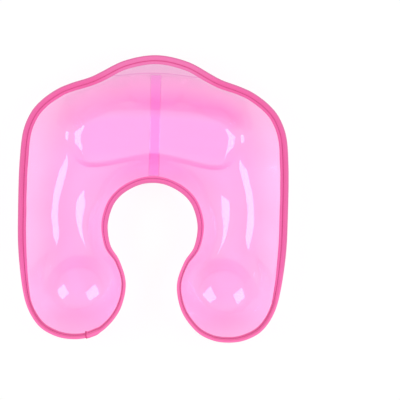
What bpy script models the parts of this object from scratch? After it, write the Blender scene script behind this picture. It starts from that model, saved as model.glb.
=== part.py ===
"""A neck tray for hair dyeing: a horseshoe of thin soft vinyl, formed into a trough round the
neck, with a pocket at the back, a bowl at the end of each arm and a tape sewn over its edge.

Metres, +Z up. +Y points to the back of the tray and +X to the right, seen from above. The origin
is on the surface that it stands on, below the middle of its outline.
"""

import math

import bmesh
import bpy
import numpy as np
from mathutils import Vector
from mathutils.geometry import delaunay_2d_cdt

# The whole tray, measured over the tape
overall_width = 0.308
overall_length = 0.322

# Heights of the sheet's middle over the surface that the tray stands on
rim_height = 0.046
trough_front_height = 0.015
trough_rear_height = 0.0095
lobe_rise = 0.011

# The trough's floor is level towards the front and falls from here on to the rear
trough_fall_start_share = 0.484
trough_fall_length = 0.065

sheet_thickness = 0.0006
piece_gap = 0.0003

# The flat flange behind the crease at the back: where the crease is, how far it bends to the front
# and over what distance from the middle, and how steeply the flange rises, in degrees
crease_share = 0.944
crease_bend = 0.0034
crease_bend_length = 0.041
flange_angle = 30.0

# The share of the length, from the front, over which the lobes' edge rises
lobe_zone_share = 0.25

# The tape folded over the edge, measured from the edge in along the sheet
bead_radius = 0.0014
tape_thickness = 0.0006
tape_depth = 0.0085
tape_shoulder_depth = 0.0010
seam_depth = 0.0046
tape_flare = 0.0003

# Past the tape the sheet stays straight for this much more, measured along the sheet
tape_margin = 0.0030

# The tape's end lies over its start, at this share of half the width, left of the middle
lap_length = 0.012
lap_ramp_length = 0.006
lap_place_share = 0.40

thread_radius = 0.00025
thread_drop_length = 0.004
thread_end_gap = 0.001

# The pocket behind the neck: a bent slot with a flat floor, whose walls have a small bend at the
# rim and a large one at the foot, each a share of the wall's width. Its rear and front edge bend
# round the neck by so much at the ends, the front edge over a shorter distance from the middle.
pocket_length = 0.208
pocket_width = 0.067
pocket_corner_radius = 0.030
pocket_rear_wall_width = 0.018
pocket_front_wall_width = 0.008
pocket_end_wall_width = 0.024
pocket_rim_share = 0.08
pocket_foot_share = 0.80
pocket_rear_bend = 0.0115
pocket_front_bend = 0.011
pocket_front_bend_length = 0.060
pocket_centre_share = 0.746

# The bowl at the end of each arm: a small flat, a round bottom and a straight wall
bowl_spacing = 0.168
bowl_centre_share = 0.160
bowl_flat_radius = 0.003
bowl_bend_radius = 0.049
bowl_wall_angle = 33.0

# The strip welded down the middle of the back, from the crease to the neck
strip_width = 0.012
strip_thickness = 0.0005
strip_end_gap = 0.0012
strip_side_margin = 0.0015

# How fine the meshes are
edge_stations = 184
inner_spacing = 0.008
least_spacing_share = 0.45
strip_row_spacing = 0.0035
edge_row_shares = (0.0, 0.5, 1.0)
wall_row_shares = (0.0, 0.33, 0.67, 1.0)
curve_steps = 24

# Half of the sheet's edge, from the top of the hump at the back, round the lobe and up to the
# neck. Each row is a share of half the width, a share of the length from the front, the angle in
# degrees at which the sheet starts down from its edge, that of the wall further in, and the
# radius in millimetres of the bend at the wall's foot.
outline_shares = (
    (0.000, 1.000, 20, 53, 4),
    (0.233, 0.980, 21, 53, 4),
    (0.408, 0.941, 28, 53, 4),
    (0.492, 0.922, 36, 52, 5),
    (0.633, 0.899, 40, 50, 7),
    (0.730, 0.878, 41, 47, 9),
    (0.851, 0.835, 41, 44, 11),
    (0.922, 0.793, 41, 42, 12),
    (0.974, 0.730, 41, 38, 12),
    (0.996, 0.626, 38, 34, 30),
    (1.000, 0.441, 42, 38, 28),
    (0.993, 0.316, 45, 36, 22),
    (0.961, 0.192, 62, 50, 20),
    (0.914, 0.111, 74, 58, 14),
    (0.826, 0.046, 76, 61, 12),
    (0.706, 0.011, 76, 61, 12),
    (0.581, 0.000, 76, 61, 12),
    (0.454, 0.008, 76, 61, 12),
    (0.338, 0.039, 75, 62, 12),
    (0.230, 0.111, 74, 63, 12),
    (0.200, 0.191, 74, 62, 14),
    (0.249, 0.270, 70, 57, 16),
    (0.322, 0.328, 59, 49, 22),
    (0.345, 0.399, 54, 48, 34),
    (0.313, 0.465, 52, 48, 50),
    (0.252, 0.508, 52, 49, 30),
    (0.123, 0.547, 53, 52, 9),
    (0.000, 0.558, 51, 53, 6),
)

edge_half_width = overall_width / 2 - bead_radius
edge_length = overall_length - 2 * bead_radius
foot_height = sheet_thickness / 2
straight_width = tape_depth + tape_margin
seam_height = sheet_thickness / 2 + piece_gap
lap_lift = tape_thickness + piece_gap
bowl_wall_slope = math.tan(math.radians(bowl_wall_angle))
bowl_bend_width = bowl_bend_radius * math.sin(math.radians(bowl_wall_angle))
bowl_bend_rise = bowl_bend_radius * (1.0 - math.cos(math.radians(bowl_wall_angle)))


def remove_everything():
    """Clears the scene that the script starts in."""
    for item in list(bpy.data.objects):
        bpy.data.objects.remove(item, do_unlink=True)


def make_material(name, colour, roughness, alpha=1.0):
    """A Principled material of one colour."""
    material = bpy.data.materials.new(name)
    material.use_nodes = True
    shader = material.node_tree.nodes["Principled BSDF"]
    shader.inputs["Base Color"].default_value = (*colour, 1.0)
    shader.inputs["Roughness"].default_value = roughness
    shader.inputs["Metallic"].default_value = 0.0
    shader.inputs["Alpha"].default_value = alpha
    material.diffuse_color = (*colour, alpha)
    return material


def add_object(name, data, material, collection):
    """Puts a mesh or a curve in the collection under its name, with its material."""
    data.materials.append(material)
    item = bpy.data.objects.new(name, data)
    collection.objects.link(item)
    return item


def along_length(share):
    """The Y of a share of the sheet's length, from the front."""
    return (share - 0.5) * edge_length


def ease(share):
    """A share from 0 to 1 with soft ends."""
    share = np.clip(share, 0.0, 1.0)
    return share * share * (3.0 - 2.0 * share)


def rounded_ramp(share, rim, foot):
    """A straight ramp from 0 to 1, whose rounded start and end take a share each."""
    share = np.clip(share, 0.0, 1.0)
    slope = 1.0 / (1.0 - (rim + foot) / 2)
    start = slope * share**2 / (2 * rim)
    middle = slope * (share - rim / 2)
    end = 1 - slope * (1 - share) ** 2 / (2 * foot)
    return np.where(share < rim, start, np.where(share > 1 - foot, end, middle))


def blend_up(a, b, height):
    """The higher of two surfaces, rounded where they cross."""
    near = np.clip(height - np.abs(a - b), 0.0, None) / height
    return np.maximum(a, b) + near * near * height / 4.0


def between(a, b, start, end, at):
    """The value on the way from a at start to b at end."""
    return a + (b - a) * (at - start) / (end - start)


def smooth_loop(points):
    """A closed smooth curve through the points, whose first two values are their place."""
    points = np.array(points, dtype=float)
    curve = []
    for i in range(len(points)):
        p0, p1, p2, p3 = (points[(i + k) % len(points)] for k in (-1, 0, 1, 2))
        t0 = 0.0
        t1 = t0 + math.sqrt(math.dist(p0[:2], p1[:2]))
        t2 = t1 + math.sqrt(math.dist(p1[:2], p2[:2]))
        t3 = t2 + math.sqrt(math.dist(p2[:2], p3[:2]))
        for t in np.linspace(t1, t2, curve_steps, endpoint=False):
            a1 = between(p0, p1, t0, t1, t)
            a2 = between(p1, p2, t1, t2, t)
            a3 = between(p2, p3, t2, t3, t)
            b1 = between(a1, a2, t0, t2, t)
            b2 = between(a2, a3, t1, t3, t)
            curve.append(between(b1, b2, t1, t2, t))
    return np.array(curve)


def inward(loop):
    """The unit direction in the plan from each point of the clockwise loop to its inside."""
    step = np.roll(loop[:, :2], -1, axis=0) - np.roll(loop[:, :2], 1, axis=0)
    normal = np.column_stack([step[:, 1], -step[:, 0]])
    return normal / np.linalg.norm(normal, axis=1)[:, None]


def straight_in_plan(edge_slope):
    """How far in, seen from above, the sheet stays straight from its edge."""
    return straight_width / np.sqrt(1 + edge_slope**2)


def crease_line(x):
    """The Y of the flange's crease, which bends to the front and then runs level."""
    bent = (x / crease_bend_length) ** 2
    return along_length(crease_share) - crease_bend * bent / (1 + bent**4) ** 0.25


def edge_curve():
    """The sheet's edge as a closed curve, clockwise from the top of the hump. Each point holds
    x, y, height, the sheet's slope at the edge, the wall's slope, how far in the wall starts and
    the radius of the bend at its foot."""
    mirrored = [(-x, *rest) for x, *rest in reversed(outline_shares[1:-1])]
    loop = smooth_loop(list(outline_shares) + mirrored)
    x = loop[:, 0] / loop[:, 0].max() * edge_half_width
    low, high = loop[:, 1].min(), loop[:, 1].max()
    length_share = (loop[:, 1] - low) / (high - low)
    y = along_length(length_share)
    edge_slope = np.tan(np.radians(loop[:, 2]))
    wall_slope = np.tan(np.radians(loop[:, 3]))
    back = np.clip(y - crease_line(x), 0.0, None)
    front = ease(1.0 - length_share / lobe_zone_share)
    height = rim_height + back * math.tan(math.radians(flange_angle)) + lobe_rise * front
    facing_front = np.clip(-inward(np.column_stack([x, y]))[:, 1], 0.5, None)
    wall_start = np.maximum(straight_in_plan(edge_slope), back / facing_front)
    bend_radius = loop[:, 4] / 1000
    return np.column_stack([x, y, height, edge_slope, wall_slope, wall_start, bend_radius])


def even_stations(curve, count):
    """The closed curve's values at evenly spaced stations, from its first point."""
    closed = np.vstack([curve, curve[:1]])
    run = np.concatenate([[0.0], np.cumsum(np.hypot(*np.diff(closed[:, :2], axis=0).T))])
    places = np.linspace(0.0, run[-1], count, endpoint=False)
    return np.column_stack([np.interp(places, run, column) for column in closed.T])


def nearest_on(loop, places):
    """For each place, its distance in the plan to the closed loop and the loop's values there."""
    end = np.roll(loop, -1, axis=0)
    leg = end[:, :2] - loop[:, :2]
    away = places[:, None, :2] - loop[None, :, :2]
    share = np.clip((away * leg).sum(-1) / (leg * leg).sum(-1), 0.0, 1.0)
    distance = np.linalg.norm(away - share[..., None] * leg, axis=-1)
    best = distance.argmin(1)
    rows = np.arange(len(places))
    part = share[rows, best][:, None]
    return distance[rows, best], loop[best] * (1 - part) + end[best] * part


def pocket_edges(x):
    """The Y of the pocket's rear and front edge. The front one bends more and then runs level."""
    centre = along_length(pocket_centre_share)
    rear = centre + pocket_width / 2 - pocket_rear_bend * (2 * x / pocket_length) ** 2
    bent = (x / pocket_front_bend_length) ** 2
    level = (1 + bent**4) ** 0.25
    front = centre - pocket_width / 2 - pocket_front_bend * bent / level
    return rear, front


def pocket_ramp(places):
    """How far down each place is in the pocket, from 0 at its outline to 1 on its floor."""
    rear, front = pocket_edges(places[:, 0])
    across = places[:, 1] - (rear + front) / 2
    past_x = np.abs(places[:, 0]) - (pocket_length / 2 - pocket_corner_radius)
    past_y = np.abs(across) - ((rear - front) / 2 - pocket_corner_radius)
    round_x, round_y = np.clip(past_x, 0.0, None), np.clip(past_y, 0.0, None)
    corner = np.hypot(round_x, round_y)
    into = pocket_corner_radius - corner - np.minimum(np.maximum(past_x, past_y), 0.0)
    side_width = np.where(across > 0, pocket_rear_wall_width, pocket_front_wall_width)
    end_part = round_x**2 / np.maximum(corner**2, sheet_thickness**4)
    wall_width = side_width + (pocket_end_wall_width - side_width) * end_part
    return rounded_ramp(into / wall_width, pocket_rim_share, pocket_foot_share)


def bowl_centres():
    """The middle of each bowl in the plan."""
    y = along_length(bowl_centre_share)
    return [np.array([side * bowl_spacing / 2, y]) for side in (-1, 1)]


def bowl_radius():
    """How far from its middle a bowl's wall comes up to the trough's floor."""
    wall_rise = trough_front_height - foot_height - bowl_bend_rise
    return bowl_flat_radius + bowl_bend_width + wall_rise / bowl_wall_slope


def bowl_height(radius):
    """The height of a bowl's surface at each distance from its middle."""
    out = np.clip(radius - bowl_flat_radius, 0.0, None)
    round_out = np.minimum(out, bowl_bend_width)
    bend = bowl_bend_radius - np.sqrt(bowl_bend_radius**2 - round_out**2)
    return foot_height + bend + (out - round_out) * bowl_wall_slope


def floor_height(places):
    """The height of the floor that the walls run into: trough, pocket and bowls."""
    past_start = places[:, 1] - along_length(trough_fall_start_share)
    fallen = ease(past_start / trough_fall_length)
    height = between(trough_front_height, trough_rear_height, 0.0, 1.0, fallen)
    height = height - (height - foot_height) * pocket_ramp(places)
    for centre in bowl_centres():
        radius = np.linalg.norm(places[:, :2] - centre, axis=1)
        height = np.minimum(height, bowl_height(radius))
    return height


def sheet_height(edge, places):
    """The height of the sheet's middle over each place in the plan."""
    away, near = nearest_on(edge, places)
    top, edge_slope, wall_slope, wall_start, bend_radius = near[:, 2:].T
    wall = top - np.minimum(away, wall_start) * edge_slope
    wall = wall - np.clip(away - wall_start, 0.0, None) * wall_slope
    bend_height = bend_radius * wall_slope**2 / np.sqrt(1 + wall_slope**2) / 2
    return blend_up(wall, floor_height(places), bend_height)


def sheet_normal(edge, places):
    """The sheet's upward normal over each place in the plan."""
    step = sheet_thickness
    slopes = []
    for shift in ((step, 0.0), (0.0, step)):
        ahead = sheet_height(edge, places + shift)
        behind = sheet_height(edge, places - shift)
        slopes.append((ahead - behind) / (2 * step))
    normal = np.column_stack([-slopes[0], -slopes[1], np.ones(len(places))])
    return normal / np.linalg.norm(normal, axis=1)[:, None]


def ring(centre, radius):
    """Points round a circle, about the inner spacing apart."""
    count = round(2 * math.pi * radius / inner_spacing)
    angles = np.arange(count) * 2 * math.pi / count
    return centre + radius * np.column_stack([np.cos(angles), np.sin(angles)])


def pocket_ring(share):
    """Points round the pocket where its walls have come down by a share of their width."""
    reach_x = pocket_length / 2 - pocket_corner_radius
    columns = round(2 * reach_x / inner_spacing)
    turns = round(math.pi / 2 * pocket_corner_radius / inner_spacing)
    points = []
    for side, side_width in ((1, pocket_rear_wall_width), (-1, pocket_front_wall_width)):
        places = [(x, share * side_width) for x in np.linspace(-reach_x, reach_x, columns + 1)]
        for turn in range(turns):
            angle = turn / turns * math.pi / 2
            wall_width = between(side_width, pocket_end_wall_width, 0, 1, math.cos(angle) ** 2)
            radius = pocket_corner_radius - share * wall_width
            x = reach_x + radius * math.cos(angle)
            in_from_side = pocket_corner_radius - radius * math.sin(angle)
            places += [(x, in_from_side), (-x, in_from_side)]
        for x, in_from_side in places:
            rear, front = pocket_edges(x)
            points.append((x, (rear if side > 0 else front) - side * in_from_side))
    return np.array(points)


def strip_rows(stations):
    """The Y of each row of the strip, from the crease to the tape at the neck."""
    neck = stations[len(stations) // 2]
    tape_end = tape_depth * math.cos(math.atan(neck[3]))
    start = along_length(crease_share) - strip_end_gap
    end = neck[1] + tape_end + strip_end_gap
    return np.linspace(start, end, round((start - end) / strip_row_spacing) + 1)


def inner_places(edge, stations):
    """Points inside the sheet: the strip's rows, the crease, the pocket, bowls and the rest."""
    side = strip_width / 2 + strip_side_margin
    rows = strip_rows(stations)
    groups = [np.array([(x, y) for y in rows for x in (-side, 0.0, side)])]
    creased = stations[stations[:, 5] > straight_in_plan(stations[:, 3]) + inner_spacing / 2]
    groups.append(np.column_stack([creased[:, 0], crease_line(creased[:, 0])]))
    for share in wall_row_shares:
        groups.append(pocket_ring(share))
        radius = bowl_radius() * (1.0 - share) + bowl_flat_radius * share
        groups.extend(ring(centre, radius) for centre in bowl_centres())
    half_columns = math.ceil(edge_half_width / inner_spacing)
    row_step = inner_spacing * math.sqrt(3) / 2
    half_rows = math.ceil(edge_length / 2 / row_step)
    lattice = [
        ((i + (j % 2) / 2) * inner_spacing, j * row_step)
        for j in range(-half_rows, half_rows + 1)
        for i in range(-half_columns - 1, half_columns + 1)
    ]
    groups.append(np.array(lattice))
    kept = groups[0]
    for group in groups[1:]:
        away, near = nearest_on(edge, group)
        clear = away > straight_in_plan(near[:, 3]) + inner_spacing / 2
        under_strip = (np.abs(group[:, 0]) < side) & (group[:, 1] < rows[0]) & (group[:, 1] > rows[-1])
        group = group[clear & inside(edge, group) & ~under_strip]
        gaps = np.linalg.norm(group[:, None, :] - kept[None, :, :], axis=-1).min(1)
        kept = np.vstack([kept, group[gaps > inner_spacing * least_spacing_share]])
    return kept


def inside(loop, places):
    """Whether each place lies inside the closed loop, by counting crossings to its right."""
    x, y = places[:, 0, None], places[:, 1, None]
    x0, y0 = loop[:, 0], loop[:, 1]
    x1, y1 = np.roll(x0, -1), np.roll(y0, -1)
    spans = (y0 > y) != (y1 > y)
    rise = np.where(y1 == y0, 1.0, y1 - y0)
    crossing = x0 + (y - y0) * (x1 - x0) / rise
    return (spans & (crossing > x)).sum(1) % 2 == 1


def make_tray_shell(edge, stations, material, collection):
    """The formed sheet: its middle surface, thickened to both sides."""
    reach = inward(stations) * straight_in_plan(stations[:, 3])[:, None]
    edge_rows = [stations[:, :2] + reach * share for share in edge_row_shares]
    plan = np.vstack(edge_rows + [inner_places(edge, stations)])
    outline = list(range(len(stations)))
    points = [Vector(place) for place in plan]
    places, _, faces, *_ = delaunay_2d_cdt(points, [], [outline], 1, sheet_thickness / 100)
    places = np.array([tuple(place) for place in places])
    heights = sheet_height(edge, places)
    mesh = bpy.data.meshes.new("tray_shell")
    mesh.from_pydata([(*p, z) for p, z in zip(places, heights)], [], faces)
    turn_up(mesh)
    mesh.shade_smooth()
    item = add_object("tray_shell", mesh, material, collection)
    thicken(item, sheet_thickness)
    return item


def turn_up(mesh):
    """Turns the faces of an open surface so that they look up."""
    surface = bmesh.new()
    surface.from_mesh(mesh)
    for face in surface.faces:
        if face.normal.z < 0:
            face.normal_flip()
    surface.to_mesh(mesh)
    surface.free()


def thicken(item, thickness):
    """Gives an open surface its thickness, half to each side."""
    shell = item.modifiers.new("thickness", "SOLIDIFY")
    shell.thickness = thickness
    shell.offset = 0.0
    shell.use_even_offset = True
    shell.use_quality_normals = True


def make_strip(edge, stations, material, collection):
    """The strip that doubles the sheet down the middle of the back."""
    rows = strip_rows(stations)
    columns = (-strip_width / 2, 0.0, strip_width / 2)
    places = np.array([(x, y) for y in rows for x in columns])
    lift = sheet_thickness / 2 + piece_gap + strip_thickness / 2
    surface = np.column_stack([places, sheet_height(edge, places)])
    surface = surface + lift * sheet_normal(edge, places)
    wide = len(columns)
    faces = [
        (j * wide + i, (j + 1) * wide + i, (j + 1) * wide + i + 1, j * wide + i + 1)
        for j in range(len(rows) - 1)
        for i in range(wide - 1)
    ]
    mesh = bpy.data.meshes.new("centre_strip")
    mesh.from_pydata([tuple(p) for p in surface], [], faces)
    turn_up(mesh)
    mesh.shade_smooth()
    item = add_object("centre_strip", mesh, material, collection)
    thicken(item, strip_thickness)
    return item


def tape_section(lift):
    """The tape's folded section as depth in from the sheet's edge and height over its middle.
    Lift moves the whole fold outward, where the tape's end lies over its start."""
    slope = math.sqrt(0.5)
    outer = [
        (-bead_radius - lift, 0.0),
        (-(bead_radius + lift) * slope, (bead_radius + lift) * slope),
        (tape_shoulder_depth, bead_radius + lift),
        (seam_depth, seam_height + tape_thickness + lift),
        (tape_depth, seam_height + tape_flare + tape_thickness + lift),
    ]
    inner = [
        (-bead_radius + tape_thickness - lift, 0.0),
        (tape_shoulder_depth, bead_radius - tape_thickness + lift),
        (seam_depth, seam_height + lift),
        (tape_depth, seam_height + tape_flare + lift),
    ]
    upper_outer = outer[::-1]
    lower_outer = [(u, -h) for u, h in outer[1:]]
    lower_inner = [(u, -h) for u, h in inner[::-1]]
    return upper_outer + lower_outer + lower_inner + inner[1:]


def edge_frame(stations, place):
    """Where the sheet's edge is at a distance of so many stations along it, with the directions
    in along the sheet and up from it."""
    count = len(stations)
    first = math.floor(place)
    share = place - first
    a, b = stations[first % count], stations[(first + 1) % count]
    normals = inward(stations)
    point = a + (b - a) * share
    flat = normals[first % count] * (1 - share) + normals[(first + 1) % count] * share
    flat /= np.linalg.norm(flat)
    angle = math.atan(point[3])
    into = np.array([*(flat * math.cos(angle)), -math.sin(angle)])
    up = np.array([*(flat * math.sin(angle)), math.cos(angle)])
    return point[:3], into, up


def station_spacing(stations):
    """How far apart the stations are along the edge."""
    step = np.roll(stations[:, :2], -1, axis=0) - stations[:, :2]
    return np.hypot(*step.T).mean()


def lap_station(stations):
    """The station where the tape starts: on the left lobe, on its side towards the middle."""
    x = -lap_place_share * edge_half_width
    front = stations[:, 1] < along_length(lobe_zone_share / 2)
    miss = np.where(front, np.abs(stations[:, 0] - x), np.inf)
    return int(miss.argmin())


def make_tape(stations, material, collection):
    """The tape, folded over the edge all the way round, with its end lying over its start."""
    count = len(stations)
    spacing = station_spacing(stations)
    first = lap_station(stations)
    lap_end = count + lap_length / spacing
    raised = count - piece_gap / spacing
    ramp_start = raised - lap_ramp_length / spacing
    runs = [r for r in range(count + 2) if r < ramp_start or raised < r < lap_end]
    runs = sorted(runs + [ramp_start, (ramp_start + raised) / 2, raised, lap_end])
    vertices = []
    for run in runs:
        lift = lap_lift * float(ease((run - ramp_start) / (raised - ramp_start)))
        point, into, up = edge_frame(stations, first + run)
        vertices += [tuple(point + u * into + h * up) for u, h in tape_section(lift)]
    around = len(tape_section(0.0))
    faces = [
        (
            j * around + i,
            j * around + (i + 1) % around,
            (j + 1) * around + (i + 1) % around,
            (j + 1) * around + i,
        )
        for j in range(len(runs) - 1)
        for i in range(around)
    ]
    faces.append(tuple(range(around))[::-1])
    faces.append(tuple(range(len(vertices) - around, len(vertices))))
    mesh = bpy.data.meshes.new("edge_binding")
    mesh.from_pydata(vertices, [], faces)
    turn_out(mesh)
    mesh.shade_smooth()
    mesh.set_sharp_from_angle(angle=math.radians(60))
    return add_object("edge_binding", mesh, material, collection)


def turn_out(mesh):
    """Turns the faces of a closed surface outward and splits the many-sided ones."""
    body = bmesh.new()
    body.from_mesh(mesh)
    bmesh.ops.recalc_face_normals(body, faces=body.faces[:])
    wide = [face for face in body.faces if len(face.verts) > 4]
    bmesh.ops.triangulate(body, faces=wide, ngon_method="EAR_CLIP")
    body.to_mesh(mesh)
    body.free()


def make_thread(name, side, stations, material, collection):
    """One of the seam's two threads: it lies on the tape's upper or lower side."""
    count = len(stations)
    spacing = station_spacing(stations)
    first = lap_station(stations)
    lap = (lap_length + thread_end_gap) / spacing
    drop = thread_drop_length / spacing
    ramp = (lap_ramp_length + piece_gap) / spacing
    begin = lap / 2
    end = count + begin - thread_end_gap / spacing
    whole = [r for r in range(1, count + 1) if begin < r < end]
    runs = sorted(whole + [begin, lap, lap + drop, count - ramp, count - ramp / 2, end])
    base = seam_height + tape_thickness + piece_gap + thread_radius
    curve = bpy.data.curves.new(name, "CURVE")
    curve.dimensions = "3D"
    curve.bevel_depth = thread_radius
    curve.bevel_resolution = 0
    curve.use_fill_caps = True
    spline = curve.splines.new("POLY")
    spline.points.add(len(runs) - 1)
    for spot, run in zip(spline.points, runs):
        down = 1.0 - ease((run - lap) / drop)
        back_up = ease((run - count + ramp) / ramp)
        lift = lap_lift * float(max(down, back_up))
        point, into, up = edge_frame(stations, first + run)
        place = point + seam_depth * into + side * (base + lift) * up
        spot.co = (*place, 1.0)
    return add_object(name, curve, material, collection)


def build():
    """Builds the tray's pieces."""
    remove_everything()
    collection = bpy.data.collections.new("hair_dye_neck_tray")
    bpy.context.scene.collection.children.link(collection)
    vinyl = make_material("clear pink vinyl", (1.0, 0.40, 0.80), 0.18, alpha=0.75)
    strip_vinyl = make_material("doubled pink vinyl", (1.0, 0.30, 0.72), 0.2, alpha=0.8)
    tape_cloth = make_material("woven pink tape", (0.90, 0.13, 0.36), 0.75)
    thread = make_material("pink thread", (0.72, 0.07, 0.28), 0.6)
    edge = edge_curve()
    stations = even_stations(edge, edge_stations)
    make_tray_shell(edge, stations, vinyl, collection)
    make_strip(edge, stations, strip_vinyl, collection)
    make_tape(stations, tape_cloth, collection)
    make_thread("needle_thread", 1, stations, thread, collection)
    make_thread("bobbin_thread", -1, stations, thread, collection)


build()
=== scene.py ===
# %% [markdown]
# A neck tray for hair dyeing is one sheet of soft pink vinyl, formed under heat into a horseshoe
# trough, with a woven tape folded over its edge and sewn down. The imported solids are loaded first
# and stay where they are. Everything made below lies in their frame, in metres, with +Z up, +Y to
# the back of the tray and +X to its right seen from above.

import math

import bpy
import numpy as np
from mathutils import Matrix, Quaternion, Vector
from mathutils.geometry import delaunay_2d_cdt


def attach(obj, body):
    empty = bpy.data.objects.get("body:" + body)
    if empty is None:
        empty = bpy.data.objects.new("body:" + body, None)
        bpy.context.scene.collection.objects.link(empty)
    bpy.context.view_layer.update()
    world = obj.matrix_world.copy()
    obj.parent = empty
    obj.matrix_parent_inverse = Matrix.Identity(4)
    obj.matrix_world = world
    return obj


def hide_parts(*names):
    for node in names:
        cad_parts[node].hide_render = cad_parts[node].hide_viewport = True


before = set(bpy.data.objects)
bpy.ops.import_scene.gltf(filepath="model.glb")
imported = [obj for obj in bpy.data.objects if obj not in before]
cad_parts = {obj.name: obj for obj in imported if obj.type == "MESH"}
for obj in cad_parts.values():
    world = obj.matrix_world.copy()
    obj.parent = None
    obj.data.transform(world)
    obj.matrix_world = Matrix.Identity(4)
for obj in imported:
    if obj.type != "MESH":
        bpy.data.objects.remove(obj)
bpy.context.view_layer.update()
print("nodes:", ", ".join(sorted(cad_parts)))

# %% [markdown]
# The sizes are those of the solids. The sheet's outline is half a horseshoe. Each of its places is
# written as a share of half the tray's width and a share of its length, from the front. Three more
# values go with it: the angle at which the sheet leaves its edge and the angle of the wall further
# in, both in degrees, and the radius of the bend at the wall's foot, in millimetres. A formed sheet
# has no straight edges, so the outline runs through these places as one smooth curve.

# %% Sizes
overall_width = 0.308
overall_length = 0.322
rim_height = 0.046
trough_rear_height = 0.0095
trough_crest_height = 0.015
trough_crest_share = 0.484
trough_fall_length = 0.065
lobe_rise = 0.011
sheet_thickness = 0.0006
crease_share = 0.944
crease_bend = 0.0034
crease_bend_length = 0.041
flange_angle = 30.0
lobe_zone_share = 0.25
bead_radius = 0.0014
tape_thickness = 0.0006
tape_depth = 0.0085
tape_margin = 0.0030
seam_depth = 0.0046
seam_height = 0.0006

mm_per_metre = 1000
edge_half_width = overall_width / 2 - bead_radius
edge_length = overall_length - 2 * bead_radius
foot_height = sheet_thickness / 2

outline_shares = (
    (0.000, 1.000, 20, 53, 4),
    (0.233, 0.980, 21, 53, 4),
    (0.408, 0.941, 28, 53, 4),
    (0.492, 0.922, 36, 52, 5),
    (0.633, 0.899, 40, 50, 7),
    (0.730, 0.878, 41, 47, 9),
    (0.851, 0.835, 41, 44, 11),
    (0.922, 0.793, 41, 42, 12),
    (0.974, 0.730, 41, 38, 12),
    (0.996, 0.626, 38, 34, 30),
    (1.000, 0.441, 42, 38, 28),
    (0.993, 0.316, 45, 36, 22),
    (0.961, 0.192, 62, 50, 20),
    (0.914, 0.111, 74, 58, 14),
    (0.826, 0.046, 76, 61, 12),
    (0.706, 0.011, 76, 61, 12),
    (0.581, 0.000, 76, 61, 12),
    (0.454, 0.008, 76, 61, 12),
    (0.338, 0.039, 75, 62, 12),
    (0.230, 0.111, 74, 63, 12),
    (0.200, 0.191, 74, 62, 14),
    (0.249, 0.270, 70, 57, 16),
    (0.322, 0.328, 59, 49, 22),
    (0.345, 0.399, 54, 48, 34),
    (0.313, 0.465, 52, 48, 50),
    (0.252, 0.508, 52, 49, 30),
    (0.123, 0.547, 53, 52, 9),
    (0.000, 0.558, 51, 53, 6),
)
print(f"half the outline runs through {len(outline_shares)} places")


def along_length(share):
    """The Y of a share of the sheet's length, from the front."""
    return (share - 0.5) * edge_length


def ease(share):
    """A share from 0 to 1 with soft ends."""
    share = np.clip(share, 0.0, 1.0)
    return share * share * (3.0 - 2.0 * share)


# %% [markdown]
# A smooth curve through given places can be a Bezier spline with automatic handles, but such
# handles bulge where the places are unevenly spaced. A centripetal Catmull-Rom curve doesn't,
# and it carries the angles along with the places. The sheet stays straight under the tape and a
# little beyond it, over a width that is measured along the sheet, and only then becomes the wall.

# %% The edge of the sheet
curve_steps = 24
straight_width = tape_depth + tape_margin
least_facing_share = 0.5


def between(a, b, start, end, at):
    """The value on the way from a at start to b at end."""
    return a + (b - a) * (at - start) / (end - start)


def smooth_loop(points):
    """A closed smooth curve through the points, whose first two values are their place."""
    points = np.array(points, dtype=float)
    curve = []
    for i in range(len(points)):
        p0, p1, p2, p3 = (points[(i + k) % len(points)] for k in (-1, 0, 1, 2))
        t0 = 0.0
        t1 = t0 + math.sqrt(math.dist(p0[:2], p1[:2]))
        t2 = t1 + math.sqrt(math.dist(p1[:2], p2[:2]))
        t3 = t2 + math.sqrt(math.dist(p2[:2], p3[:2]))
        for t in np.linspace(t1, t2, curve_steps, endpoint=False):
            a1 = between(p0, p1, t0, t1, t)
            a2 = between(p1, p2, t1, t2, t)
            a3 = between(p2, p3, t2, t3, t)
            b1 = between(a1, a2, t0, t2, t)
            b2 = between(a2, a3, t1, t3, t)
            curve.append(between(b1, b2, t1, t2, t))
    return np.array(curve)


def inward(loop):
    """The unit direction in the plan from each point of the clockwise loop to its inside."""
    step = np.roll(loop[:, :2], -1, axis=0) - np.roll(loop[:, :2], 1, axis=0)
    normal = np.column_stack([step[:, 1], -step[:, 0]])
    return normal / np.linalg.norm(normal, axis=1)[:, None]


def crease_line(x):
    """The Y of the flange's crease, which bends to the front and then runs level."""
    bent = (x / crease_bend_length) ** 2
    return along_length(crease_share) - crease_bend * bent / (1 + bent**4) ** 0.25


def edge_curve():
    """The sheet's edge, clockwise from the top of the hump.

    Each row holds x, y, the height, the sheet's slope at the edge, the wall's slope, how far in
    the wall starts and the radius of the bend at its foot."""
    mirrored = [(-x, *rest) for x, *rest in reversed(outline_shares[1:-1])]
    loop = smooth_loop(list(outline_shares) + mirrored)
    x = loop[:, 0] / loop[:, 0].max() * edge_half_width
    low, high = loop[:, 1].min(), loop[:, 1].max()
    length_share = (loop[:, 1] - low) / (high - low)
    y = along_length(length_share)
    edge_slope = np.tan(np.radians(loop[:, 2]))
    wall_slope = np.tan(np.radians(loop[:, 3]))
    back = np.clip(y - crease_line(x), 0.0, None)
    front = ease(1.0 - length_share / lobe_zone_share)
    height = rim_height + back * math.tan(math.radians(flange_angle)) + lobe_rise * front
    facing_front = np.clip(-inward(np.column_stack([x, y]))[:, 1], least_facing_share, None)
    straight = straight_width / np.sqrt(1 + edge_slope**2)
    wall_start = np.maximum(straight, back / facing_front)
    bend_radius = loop[:, 4] / mm_per_metre
    return np.column_stack([x, y, height, edge_slope, wall_slope, wall_start, bend_radius])


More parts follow.
